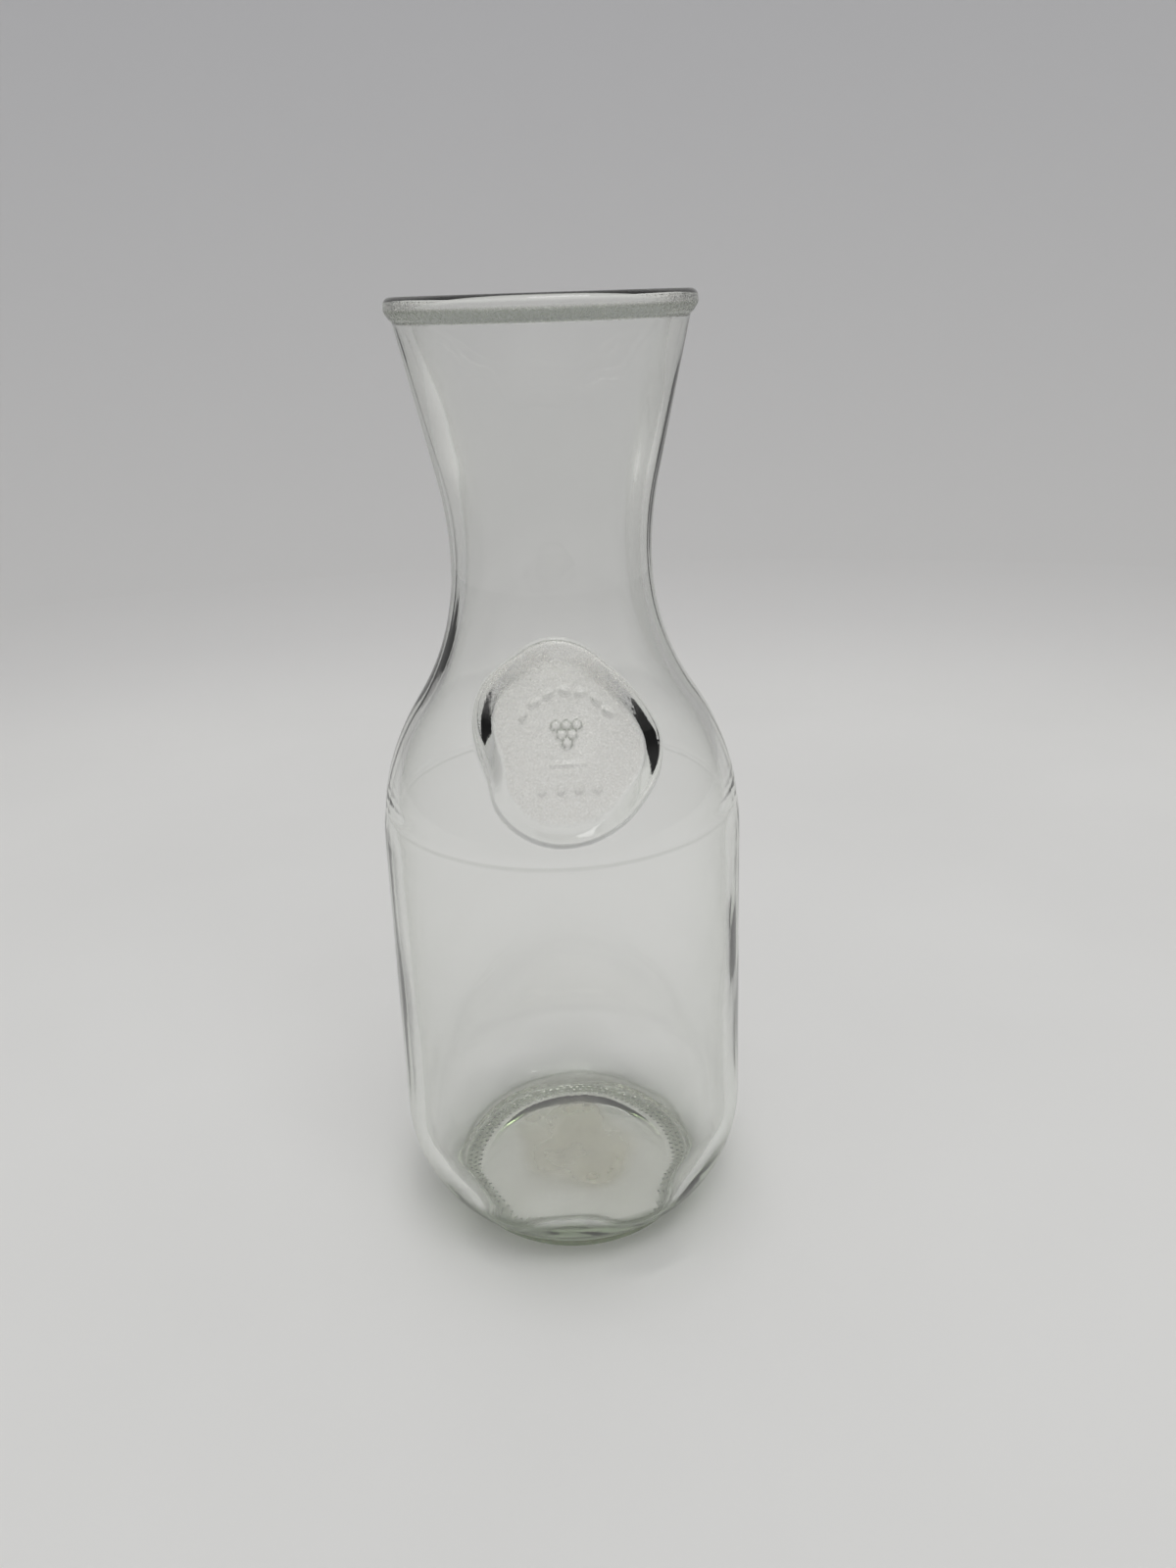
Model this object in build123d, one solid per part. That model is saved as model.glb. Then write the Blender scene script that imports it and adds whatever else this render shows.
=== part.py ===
from build123d import *
import math
import os

# One-litre glass carafe: a single moulding with a flared, collared mouth, an hourglass neck,
# a raised seal on the shoulder and a thick base that stands on a ring.
# Millimetres, +Z up. Origin: centre of the bearing ring, on the plane the carafe stands on.
# The seal faces -Y.

# Driving dimensions of the outside
HEIGHT = 257.0
BODY_R = 50.4
BODY_TOP_R = 49.1
HEEL_TOP_Z = 33.3
HEEL_DEPTH = 37.9
HEEL_HEIGHT = 38.5
SHOULDER_Z = 120.2
SHOULDER_ARC_R = 70.0
WAIST_R = 25.6
WAIST_Z = 195.7
FLARE_ARC_R = 95.0
FLARE_DEG = 11.8

# Foot: a bearing ring with a shallow push-up inside it
FOOT_R = 35.4
FOOT_WIDTH = 5.6
FOOT_EDGE_R = 0.9
HEEL_START_R = 36.4
PUSH_UP = 4.6

# Collar round the mouth
COLLAR_R = 37.0
COLLAR_BOTTOM_Z = 251.8
COLLAR_LEDGE = 0.4
COLLAR_LAND_Z = 253.8
COLLAR_LAND = 1.3
RIM_FLAT = 1.0

# Cavity: it follows the outside, down to a thick base with a slightly crowned floor
BODY_WALL = 4.0
HEEL_WALL = 4.2
FLOOR_Z = 9.0
FLOOR_CROWN = 1.6
FLOOR_CORNER_R = 3.5
CAVITY_TOP_R = 45.7
CAVITY_SHOULDER_Z = 120.2
CAVITY_SHOULDER_ARC_R = 65.3
CAVITY_WAIST_R = 20.9
CAVITY_WAIST_Z = 200.9
CAVITY_FLARE_ARC_R = 75.5
CAVITY_FLARE_DEG = 14.0
CAVITY_FLARE_TOP_Z = 253.0

# Seal: an uneven disc on the shoulder, tilted to lie along it
SEAL_Z = 158.0
SEAL_AXIS_R = 38.0
SEAL_TILT_DEG = 24.7
SEAL_PROUD = 2.5
SEAL_DEPTH = 9.0
SEAL_FACE_ARC_R = 60.0
SEAL_SKIRT_SLOPE = 0.35
SEAL_RIM_RISE = 1.6
SEAL_RIM_WIDTH = 3.2
SEAL_RIM_LAND = 0.7
SEAL_SINK = 4.3
# Radii of the outer edge at equal angles, from +X round through the top of the seal
SEAL_RADII = (22.8, 20.6, 20.6, 24.3, 23.8, 23.8, 20.9, 21.7, 24.3, 24.5, 23.4, 22.6)

# Raised ornament on the seal, placed in the plane of its face
ORNAMENT_RISE = 0.7
ORNAMENT_ROOT = 1.2
LEAF_COUNT = 7
LEAF_ARC_R = 12.2
LEAF_ARC_DEG = 112.0
LEAF_SIZE = (3.0, 1.5)
LEAF_TILT_DEG = 20.0
BERRY_R = 1.3
BERRY_PITCH = 2.5
BERRY_ROWS = 3
BERRY_TOP_Y = 4.0
BAR_SIZE = (9.0, 0.9)
BAR_Y = -5.2
LOZENGE_COUNT = 4
LOZENGE_PITCH = 4.4
LOZENGE_SIZE = (2.6, 3.2)
LOZENGE_Y = -11.0


def polar(radius, degrees):
    """First and second coordinates of a point at a radius and an angle."""
    angle = math.radians(degrees)
    return radius * math.cos(angle), radius * math.sin(angle)


def shoulder_and_neck(start, lean, arc_r, waist_r, waist_z):
    """Convex arc from start and concave arc up to an upright waist, tangent where they meet.

    lean is the angle of the wall at start, in degrees inward from upright.
    """
    inward_r, down_z = polar(arc_r, lean)
    centre_r = start[0] - inward_r
    centre_z = start[1] - down_z
    across = waist_r - centre_r
    rise = waist_z - centre_z
    neck_arc_r = (across**2 + rise**2 - arc_r**2) / (2 * (arc_r - across))
    share = arc_r / (arc_r + neck_arc_r)
    meet = (centre_r + share * (across + neck_arc_r), centre_z + share * rise)
    wall_r, wall_z = polar(1.0, 90.0 + lean)
    return [
        TangentArc(start, meet, tangent=(wall_r, wall_z)),
        TangentArc((waist_r, waist_z), meet, tangent=(0, -1)),
    ]


def flare(waist_r, waist_z, arc_r, degrees, top_z):
    """Arc out from the waist and a straight flare up to top_z, with the end point."""
    bend_r, bend_z = polar(arc_r, degrees)
    arc_end = (waist_r + arc_r - bend_r, waist_z + bend_z)
    top_r = arc_end[0] + (top_z - arc_end[1]) * math.tan(math.radians(degrees))
    top = (top_r, top_z)
    edges = [TangentArc((waist_r, waist_z), arc_end, tangent=(0, 1)), Line(arc_end, top)]
    return edges, top


def revolved(edges):
    """Solid of revolution about Z from a closed chain of edges drawn as (radius, height)."""
    return revolve(Plane.XZ * make_face(edges), Axis.Z)


def heel_arc(depth, height, arc_degrees):
    """Part of an upright ellipse that rises to the top of the heel, where it stands upright."""
    return EllipticalCenterArc(
        center=(BODY_R - HEEL_DEPTH, HEEL_TOP_Z),
        x_radius=height,
        y_radius=depth,
        start_angle=90.0 - arc_degrees,
        arc_size=arc_degrees,
        rotation=-90.0,
    )


def foot_and_heel():
    """Edges from the centre of the push-up, round the foot, to the top of the heel."""
    foot_inner_r = FOOT_R - FOOT_WIDTH
    foot_edge_start = (FOOT_R - FOOT_EDGE_R, 0)
    foot_edge_end = (FOOT_R, FOOT_EDGE_R)
    heel_degrees = math.degrees(math.acos(1 - (BODY_R - HEEL_START_R) / HEEL_DEPTH))
    heel = heel_arc(HEEL_DEPTH, HEEL_HEIGHT, heel_degrees)
    return [
        TangentArc((0, PUSH_UP), (foot_inner_r, 0), tangent=(1, 0)),
        Line((foot_inner_r, 0), foot_edge_start),
        TangentArc(foot_edge_start, foot_edge_end, tangent=(1, 0)),
        Line(foot_edge_end, heel @ 0),
        heel,
    ]


def outer_form():
    """The outside of the carafe, filled in, with its foot and collar."""
    lean = math.degrees(math.atan2(BODY_R - BODY_TOP_R, SHOULDER_Z - HEEL_TOP_Z))
    shoulder_start = (BODY_TOP_R, SHOULDER_Z)
    neck = shoulder_and_neck(shoulder_start, lean, SHOULDER_ARC_R, WAIST_R, WAIST_Z)
    flare_edges, flare_top = flare(WAIST_R, WAIST_Z, FLARE_ARC_R, FLARE_DEG, COLLAR_BOTTOM_Z)
    ledge = (flare_top[0] + COLLAR_LEDGE, COLLAR_BOTTOM_Z)
    land_bottom = (COLLAR_R, COLLAR_LAND_Z)
    land_top = (COLLAR_R, COLLAR_LAND_Z + COLLAR_LAND)
    rim_edge = (COLLAR_R - (HEIGHT - land_top[1]), HEIGHT)
    collar = [
        Line(flare_top, ledge),
        Line(ledge, land_bottom),
        Line(land_bottom, land_top),
        TangentArc(land_top, rim_edge, tangent=(0, 1)),
        Line(rim_edge, (0, HEIGHT)),
    ]
    body_side = Line((BODY_R, HEEL_TOP_Z), shoulder_start)
    axis_line = Line((0, HEIGHT), (0, PUSH_UP))
    return revolved(foot_and_heel() + [body_side] + neck + flare_edges + collar + [axis_line])


def cavity():
    """The space inside, from the crowned floor to the rounded lip."""
    heel_rise = HEEL_HEIGHT - HEEL_WALL
    heel_degrees = math.degrees(math.asin((HEEL_TOP_Z - FLOOR_Z) / heel_rise))
    heel = heel_arc(HEEL_DEPTH - BODY_WALL, heel_rise, heel_degrees)
    heel_top = (BODY_R - BODY_WALL, HEEL_TOP_Z)
    shoulder_start = (CAVITY_TOP_R, CAVITY_SHOULDER_Z)
    lean = math.degrees(math.atan2(heel_top[0] - CAVITY_TOP_R, CAVITY_SHOULDER_Z - HEEL_TOP_Z))
    neck = shoulder_and_neck(
        shoulder_start, lean, CAVITY_SHOULDER_ARC_R, CAVITY_WAIST_R, CAVITY_WAIST_Z
    )
    flare_edges, flare_top = flare(
        CAVITY_WAIST_R, CAVITY_WAIST_Z, CAVITY_FLARE_ARC_R, CAVITY_FLARE_DEG, CAVITY_FLARE_TOP_Z
    )
    lip_r = COLLAR_R - (HEIGHT - COLLAR_LAND_Z - COLLAR_LAND) - RIM_FLAT
    flare_angle = math.radians(CAVITY_FLARE_DEG)
    flare_direction = (math.sin(flare_angle), math.cos(flare_angle))
    floor_centre = (0, FLOOR_Z + FLOOR_CROWN)
    base = [TangentArc(floor_centre, heel @ 0, tangent=(1, 0)), heel]
    body_side = Line(heel_top, shoulder_start)
    lip = [
        TangentArc(flare_top, (lip_r, HEIGHT), tangent=flare_direction),
        Line((lip_r, HEIGHT), (0, HEIGHT)),
        Line((0, HEIGHT), floor_centre),
    ]
    space = revolved(base + [body_side] + neck + flare_edges + lip)
    floor_edge = space.edges().filter_by(GeomType.CIRCLE).sort_by(Axis.Z)[0]
    return fillet(floor_edge, FLOOR_CORNER_R)


def seal_plane(height):
    """Plane parallel to the seal's face, at a height above the shoulder; +Y runs up the seal."""
    out_y, out_z = polar(1.0, 180.0 - SEAL_TILT_DEG)
    base = Plane(
        origin=(0, -SEAL_AXIS_R, SEAL_Z),
        x_dir=(1, 0, 0),
        z_dir=(0, out_y, out_z),
    )
    return base.offset(height)


def seal_outline(height, inset, spread):
    """Uneven closed outline on the seal plane at a height, spreading evenly with that height.

    The outline lies inset from the seal's outer edge where it meets the crowned face.
    """
    step = 360.0 / len(SEAL_RADII)
    points = []
    for i, radius in enumerate(SEAL_RADII):
        across, _ = polar(radius - inset, step * i)
        face = SEAL_PROUD - across**2 / (2 * SEAL_FACE_ARC_R)
        points.append(polar(radius - inset + spread * (height - face), step * i))
    return seal_plane(height) * make_face(Spline(points, periodic=True))


def seal_crown(height):
    """Solid cylinder lying along the seal; its crest stands at a height over the shoulder."""
    crown = Rot(90, 0, 0) * Cylinder(SEAL_FACE_ARC_R, 100.0)
    return seal_plane(height - SEAL_FACE_ARC_R) * crown


def seal_pad():
    """The seal without its ornament: a crowned face sunk inside a raised, sloping rim.

    It is held within the radius of the body, so the rim fades out at its lowest edge.
    """
    crest = SEAL_PROUD + SEAL_RIM_RISE
    root = seal_outline(-SEAL_DEPTH, 0.0, -SEAL_SKIRT_SLOPE)
    top = seal_outline(crest, 0.0, -SEAL_SKIRT_SLOPE)
    pad = loft([root, top]) & seal_crown(crest)
    slope = (SEAL_RIM_WIDTH - SEAL_RIM_LAND) / SEAL_RIM_RISE
    sink = seal_outline(SEAL_PROUD - SEAL_SINK, SEAL_RIM_WIDTH, slope)
    mouth = seal_outline(crest + 0.5, SEAL_RIM_WIDTH, slope)
    pad -= loft([sink, mouth]) - seal_crown(SEAL_PROUD)
    return pad & Pos(0, 0, SEAL_Z) * Cylinder(BODY_R, 100.0)


def leaf(size):
    """Pointed leaf outline along the first axis."""
    length, width = size
    tip = (length / 2, 0)
    tail = (-length / 2, 0)
    upper = ThreePointArc(tail, (0, width / 2), tip)
    lower = ThreePointArc(tip, (0, -width / 2), tail)
    return make_face([upper, lower])


def ornament_outlines():
    """Outlines of the raised marks: an arc of leaves, a berry bunch, a bar and lozenges."""
    marks = []
    for i in range(LEAF_COUNT):
        angle = 90.0 + LEAF_ARC_DEG * (0.5 - i / (LEAF_COUNT - 1))
        turn = Rot(0, 0, angle - 90.0 + LEAF_TILT_DEG * (-1) ** i)
        marks.append(Pos(*polar(LEAF_ARC_R, angle)) * turn * leaf(LEAF_SIZE))
    for row in range(BERRY_ROWS):
        berries = BERRY_ROWS - row
        for i in range(berries):
            x = (i - (berries - 1) / 2) * BERRY_PITCH
            y = BERRY_TOP_Y - row * BERRY_PITCH * math.sqrt(3) / 2
            marks.append(Pos(x, y) * Circle(BERRY_R))
    marks.append(Pos(0, BAR_Y) * Rectangle(*BAR_SIZE))
    for i in range(LOZENGE_COUNT):
        x = (i - (LOZENGE_COUNT - 1) / 2) * LOZENGE_PITCH
        marks.append(Pos(x, LOZENGE_Y) * leaf(LOZENGE_SIZE))
    return marks


def ornament():
    """Raised marks, cut off level with a surface just above the seal's crowned face."""
    reach = SEAL_PROUD + ORNAMENT_RISE
    drop = ORNAMENT_ROOT + ORNAMENT_RISE + 2.0
    blocks = [extrude(seal_plane(reach) * mark, amount=-drop) for mark in ornament_outlines()]
    return [block & seal_crown(reach) for block in blocks]


def glass_body():
    """The whole carafe as one solid."""
    solid = outer_form() + seal_pad()
    for mark in ornament():
        solid += mark
    return solid - cavity()


os.makedirs("parts", exist_ok=True)
export_step(glass_body(), "parts/glass_body.step")
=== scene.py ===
import math

import bpy
import numpy as np
from mathutils import Matrix, Vector


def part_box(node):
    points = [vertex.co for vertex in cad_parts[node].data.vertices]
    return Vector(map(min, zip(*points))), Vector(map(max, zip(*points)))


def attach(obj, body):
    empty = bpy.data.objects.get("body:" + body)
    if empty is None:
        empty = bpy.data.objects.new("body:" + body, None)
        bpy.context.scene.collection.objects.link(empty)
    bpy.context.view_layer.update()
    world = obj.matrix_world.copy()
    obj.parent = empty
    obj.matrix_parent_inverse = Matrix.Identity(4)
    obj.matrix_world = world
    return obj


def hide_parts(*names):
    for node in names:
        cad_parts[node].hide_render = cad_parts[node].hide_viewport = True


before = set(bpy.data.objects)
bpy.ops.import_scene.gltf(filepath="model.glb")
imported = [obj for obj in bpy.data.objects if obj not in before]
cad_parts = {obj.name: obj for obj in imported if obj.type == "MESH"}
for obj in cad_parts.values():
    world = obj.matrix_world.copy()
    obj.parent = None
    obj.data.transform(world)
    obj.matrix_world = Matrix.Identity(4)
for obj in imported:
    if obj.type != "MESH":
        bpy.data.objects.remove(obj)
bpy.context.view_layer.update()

# A clear glass carafe. The visible glass is one closed mesh, built ring by ring up the outside
# and down the inside. Shapes are drawn in millimetres and scaled to the CAD node's height.
NODE = "glass_body"
DRAWN_HEIGHT = 257.0
NODE_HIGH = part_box(NODE)[1]
METRES = NODE_HIGH[2] / DRAWN_HEIGHT

# Outside of the carafe
BODY_R = NODE_HIGH[0] / METRES
BODY_TOP_R = 49.1
HEEL_TOP_Z = 33.3
HEEL_DEPTH = 37.9
HEEL_HEIGHT = 38.5
HEEL_START_R = 36.4
SHOULDER_Z = 120.2
SHOULDER_ARC_R = 70.0
WAIST_R = 25.6
WAIST_Z = 195.7
FLARE_ARC_R = 95.0
FLARE_DEG = 11.8
FOOT_R = 35.4
FOOT_WIDTH = 5.6
FOOT_EDGE_R = 0.9
PUSH_UP = 4.6
COLLAR_R = 37.0
COLLAR_BOTTOM_Z = 251.8
COLLAR_LEDGE = 0.4
COLLAR_LAND_Z = 253.8
COLLAR_LAND = 1.3
RIM_ROUND = DRAWN_HEIGHT - COLLAR_LAND_Z - COLLAR_LAND
RIM_FLAT = 1.0

# Inside of the carafe
BODY_WALL = 4.0
HEEL_WALL = 4.2
FLOOR_Z = 9.0
FLOOR_CROWN = 1.6
CAVITY_TOP_R = 45.7
CAVITY_SHOULDER_Z = 120.2
CAVITY_SHOULDER_ARC_R = 65.3
CAVITY_WAIST_R = 20.9
CAVITY_WAIST_Z = 200.9
CAVITY_FLARE_ARC_R = 75.5
CAVITY_FLARE_DEG = 14.0
CAVITY_FLARE_TOP_Z = 253.0

# How far the fire has softened the corners: outside, round the lip, and inside the heel
OUTSIDE_SOFTNESS = 0.28
LIP_SOFTNESS = 0.35
HEEL_SOFTNESS = 1.5

# Seal on the shoulder: a tilted disc with a raised rim. Its outline is free-form: radii at even
# angles, anticlockwise from its right
SEAL_Z = 158.0
SEAL_AXIS_R = 38.0
SEAL_TILT = math.radians(24.7)
SEAL_PROUD = 2.5
SEAL_FACE_ARC_R = 60.0
SEAL_FACE_BLEND = 1.2
SEAL_RADII = (
    22.6, 21.0, 20.1, 20.5, 23.0, 24.2, 23.4, 23.8, 22.6,
    20.6, 19.9, 22.4, 23.8, 24.2, 23.7, 23.0, 22.4, 22.8,
)
SEAL_RIM_SIDE = 4.3
SEAL_RIM_LEFT_MORE = 0.2
SEAL_RIM_TOP = 4.8
SEAL_RIM_BOTTOM = 2.6
SEAL_RIM_BOTTOM_TURN = 0.35
SEAL_RISE_SIDE = 3.2
SEAL_RISE_LEFT_MORE = 0.8
SEAL_RISE_RIGHT_MORE = 1.0
SEAL_RISE_RIGHT_ANGLE = -0.65
SEAL_RISE_RIGHT_HALF_WIDTH = 0.45
SEAL_RISE_TOP = 1.0
SEAL_RISE_BOTTOM = 0.6
SEAL_CREST = 0.5
SEAL_EDGE = 0.9
SLOPE_ROUNDING = 0.10
EDGE_ROUNDING = 0.25
SEAL_LOW_Z = 129.0
SEAL_HIGH_Z = 187.0
SEAL_REACH = math.radians(44.0)
SAND_RISE = 0.012

# Ornament on the seal's face
LEAVES = 7
LEAF_SIZE = (1.75, 1.05)
LEAF_ARC_R = 12.2
LEAF_ARC_DEG = 112.0
LEAF_TURN_DEG = 20.0
BERRY_ROWS = 3
BERRY_R = 1.4
BERRY_PITCH = 2.5
BERRY_ROW_DROP = 2.17
BERRY_TOP_Y = 4.0
BERRY_RISE = 1.7
BAR_Y = -5.2
BAR_HALF_LENGTH = 4.6
BAR_HALF_WIDTH = 0.6
BAR_RISE = 0.8
LOZENGES = 4
LOZENGE_SIZE = (1.4, 1.8)
LOZENGE_PITCH = 4.4
LOZENGE_Y = -11.0
MARK_STEEPNESS = 1.8

# Crease round the top of the body, and the mould seams at its sides
CREASE_Z = 129.5
CREASE_DEPTH = 0.25
CREASE_HALF_WIDTH = 1.3
INNER_CREASE_HALF_WIDTH = 3.0
SEAM_ANGLES = (-math.pi / 2, math.pi / 2)
SEAM_RISE = 0.04
SEAM_HALF_WIDTH = 0.35
SKIN_DEPTH = 0.02
SKIN_LOW_Z = 20.0

# Unevenness of the walls: a stretch is (low, rise, high, fall) in height, and a patch is a centre
# and a half size, each as (angle, height)
OUTSIDE_STRETCH = (12.0, 14.0, 250.0, 4.0)
NECK_STRETCH = (150.0, 30.0, 250.0, 18.0)
BODY_STRETCH = (22.0, 25.0, 132.0, 22.0)
NECK_SAG = 0.34
NECK_STREAKS = 0.13
BODY_SAG = 0.07
BODY_STREAKS = 0.025
THICK_PATCH = ((-1.75, 50.0), (0.60, 30.0))
THICK_PATCH_RISE = 0.12
RIPPLE_PATCH = ((1.45, 92.0), (0.55, 24.0))
RIPPLE_RISE = 0.07
FLOOR_EDGE_Z = 10.5
FLOOR_EDGE_REACH = 9.0
FLOOR_HEXAGON = 1.15
FLOOR_TRIANGLE_SHARE = 0.30
FLOOR_SKIN = 0.45
FLOOR_SHIFT = 0.3

# Pips under the foot
PIP_ROWS = 3
PIP_COUNT = 92
PIP_DEPTH = 0.3

# How finely the profiles are traced and the surface is divided, and where the rings' spacing changes
TRACE_STEP = 0.1
ELLIPSE_POINTS = 500
COLUMNS = 150
FEW_COLUMNS = 48
SOME_COLUMNS = 96
PIP_COLUMNS = 6 * PIP_COUNT
SEAM_COLUMNS_DEG = (-1.1, -0.7, -0.45, -0.22, 0.0, 0.22, 0.45, 0.7, 1.1)
SEAM_CLEARANCE = math.radians(0.5)
SEAL_COLUMN_DEG = 0.58
FOOT_CORNER_Z = 4.5
HEEL_MIDDLE_Z = 10.0
FLOOR_RING_R = 31.0


# ---------------------------------------------------------------- profile curves

def arc(centre, radius, start_deg, end_deg):
    """Points along an arc in the (radius, height) plane."""
    length = abs(math.radians(end_deg - start_deg)) * radius
    angles = np.radians(np.linspace(start_deg, end_deg, max(4, int(length / TRACE_STEP))))
    return np.column_stack([centre[0] + radius * np.cos(angles), centre[1] + radius * np.sin(angles)])


def ellipse(centre, half_width, half_height, start_deg, end_deg):
    """Points along an upright ellipse in the (radius, height) plane."""
    angles = np.radians(np.linspace(start_deg, end_deg, ELLIPSE_POINTS))
    across = centre[0] + half_width * np.cos(angles)
    up = centre[1] + half_height * np.sin(angles)
    return np.column_stack([across, up])


def shoulder_and_neck(start, lean_deg, arc_r, waist):
    """Convex arc from start, then a concave arc up to the upright waist, tangent to it."""
    lean = math.radians(lean_deg)
    centre = (start[0] - arc_r * math.cos(lean), start[1] - arc_r * math.sin(lean))
    across = waist[0] - centre[0]
    rise = waist[1] - centre[1]
    neck_r = (across**2 + rise**2 - arc_r**2) / (2 * (arc_r - across))
    turn_deg = math.degrees(math.atan2(rise, across + neck_r))
    lower = arc(centre, arc_r, lean_deg, turn_deg)
    upper = arc((waist[0] + neck_r, waist[1]), neck_r, 180.0 + turn_deg, 180.0)
    return np.vstack([lower, upper[1:]])


def flare(waist, arc_r, degrees, top_z):
    """Arc out from the waist, then a straight flare up to top_z."""
    bend = arc((waist[0] + arc_r, waist[1]), arc_r, 180.0, 180.0 - degrees)
    run = (top_z - bend[-1][1]) * math.tan(math.radians(degrees))
    return np.vstack([bend, [(bend[-1][0] + run, top_z)]])


def trace(parts):
    """One evenly stepped polyline through the parts, in order."""
    points = np.vstack(parts)
    gaps = np.hypot(*np.diff(points, axis=0).T)
    keep = np.concatenate([[True], gaps > 1e-6])
    points = points[keep]
    along = np.concatenate([[0.0], np.cumsum(np.hypot(*np.diff(points, axis=0).T))])
    stops = np.arange(0.0, along[-1], TRACE_STEP)
    stops = np.append(stops, along[-1])
    return np.column_stack([np.interp(stops, along, points[:, 0]), np.interp(stops, along, points[:, 1])])


def fire_polish(points, softness):
    """Rounds the corners of an evenly stepped polyline; its ends stay where they are."""
    reach = int(3 * softness / TRACE_STEP)
    offsets = np.arange(-reach, reach + 1) * TRACE_STEP
    weights = np.exp(-0.5 * (offsets / softness) ** 2)
    weights /= weights.sum()
    before = 2 * points[0] - points[reach:0:-1]
    after = 2 * points[-1] - points[-2:-reach - 2:-1]
    padded = np.vstack([before, points, after])
    return np.column_stack([np.convolve(padded[:, i], weights, "valid") for i in (0, 1)])


def shallow_arc_r(half_chord, rise):
    """Radius of the arc that rises by so much over a half chord."""
    return (half_chord**2 + rise**2) / (2 * rise)


def outside_profile():
    """From the centre of the push-up, round the foot and up to the top of the collar."""
    foot_inner_r = FOOT_R - FOOT_WIDTH
    push_r = shallow_arc_r(foot_inner_r, PUSH_UP)
    push_deg = math.degrees(math.asin(foot_inner_r / push_r))
    heel_deg = math.degrees(math.acos(1 - (BODY_R - HEEL_START_R) / HEEL_DEPTH))
    lean_deg = math.degrees(math.atan2(BODY_R - BODY_TOP_R, SHOULDER_Z - HEEL_TOP_Z))
    neck = shoulder_and_neck((BODY_TOP_R, SHOULDER_Z), lean_deg, SHOULDER_ARC_R, (WAIST_R, WAIST_Z))
    throat = flare((WAIST_R, WAIST_Z), FLARE_ARC_R, FLARE_DEG, COLLAR_BOTTOM_Z)
    return trace(
        [
            arc((0, PUSH_UP - push_r), push_r, 90.0, 90.0 - push_deg),
            arc((FOOT_R - FOOT_EDGE_R, FOOT_EDGE_R), FOOT_EDGE_R, -90.0, 0.0),
            ellipse((BODY_R - HEEL_DEPTH, HEEL_TOP_Z), HEEL_DEPTH, HEEL_HEIGHT, -heel_deg, 0.0),
            neck,
            throat,
            [(throat[-1][0] + COLLAR_LEDGE, COLLAR_BOTTOM_Z), (COLLAR_R, COLLAR_LAND_Z)],
            arc((COLLAR_R - RIM_ROUND, COLLAR_LAND_Z + COLLAR_LAND), RIM_ROUND, 0.0, 90.0),
        ]
    )


def lip_and_throat():
    """From the top of the rim, over the lip and down the inside to the top of the heel."""
    lip_r = COLLAR_R - RIM_ROUND - RIM_FLAT
    heel_top_r = BODY_R - BODY_WALL
    fall = CAVITY_SHOULDER_Z - HEEL_TOP_Z
    lean_deg = math.degrees(math.atan2(heel_top_r - CAVITY_TOP_R, fall))
    waist = (CAVITY_WAIST_R, CAVITY_WAIST_Z)
    throat = flare(waist, CAVITY_FLARE_ARC_R, CAVITY_FLARE_DEG, CAVITY_FLARE_TOP_Z)
    lip_round = DRAWN_HEIGHT - CAVITY_FLARE_TOP_Z
    lip = ellipse((lip_r, CAVITY_FLARE_TOP_Z), lip_r - throat[-1][0], lip_round, 90.0, 170.0)
    neck = shoulder_and_neck((CAVITY_TOP_R, CAVITY_SHOULDER_Z), lean_deg, CAVITY_SHOULDER_ARC_R, waist)
    return trace([lip, throat[::-1], neck[::-1], [(heel_top_r, HEEL_TOP_Z)]])


def heel_and_floor():
    """From the top of the heel, inside, down to the centre of the crowned floor."""
    heel_rise = HEEL_HEIGHT - HEEL_WALL
    heel_deg = math.degrees(math.asin((HEEL_TOP_Z - FLOOR_Z) / heel_rise))
    centre = (BODY_R - HEEL_DEPTH, HEEL_TOP_Z)
    heel = ellipse(centre, HEEL_DEPTH - BODY_WALL, heel_rise, 0.0, -heel_deg)
    edge_r = heel[-1][0]
    crown_r = shallow_arc_r(edge_r, FLOOR_CROWN)
    crown_deg = math.degrees(math.asin(edge_r / crown_r))
    floor = arc((0, FLOOR_Z + FLOOR_CROWN - crown_r), crown_r, 90.0 - crown_deg, 90.0)
    return trace([heel, floor])


# ---------------------------------------------------------------- smooth steps, humps and noise

def soft_step(x):
    """0 below 0, 1 above 1, smooth between."""
    x = np.clip(x, 0.0, 1.0)
    return x * x * (3 - 2 * x)


def stretch(z, low, rise, high, fall):
    """1 between two heights: it comes in over a rise above the low one and goes over a fall."""
    return soft_step((z - low) / rise) * soft_step((high - z) / fall)


def rounded_ramp(x, edge):
    """0 below 0, 1 above 1 and straight between, with its two corners rounded over an edge width."""
    low = np.clip((x + edge) / (2 * edge), 0.0, 1.0)
    high = np.clip((x - 1 + edge) / (2 * edge), 0.0, 1.0)
    middle = np.clip(x, edge, 1.0 - edge)
    return (middle - edge) + edge * low**2 + edge * (1 - (1 - high) ** 2)


def hump(x, centre, half_width):
    """1 at centre, falling smoothly to nothing on both sides."""
    return np.exp(-(((x - centre) / half_width) ** 2))


def wrapped(angle):
    """The same angle between -pi and pi."""
    return (angle + math.pi) % (2 * math.pi) - math.pi


def in_patch(angle, z, patch):
    """1 at the centre of a patch of the wall, falling smoothly to nothing round it."""
    centre, half_size = patch
    return hump(wrapped(angle - centre[0]), 0.0, half_size[0]) * hump(z, centre[1], half_size[1])


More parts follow.
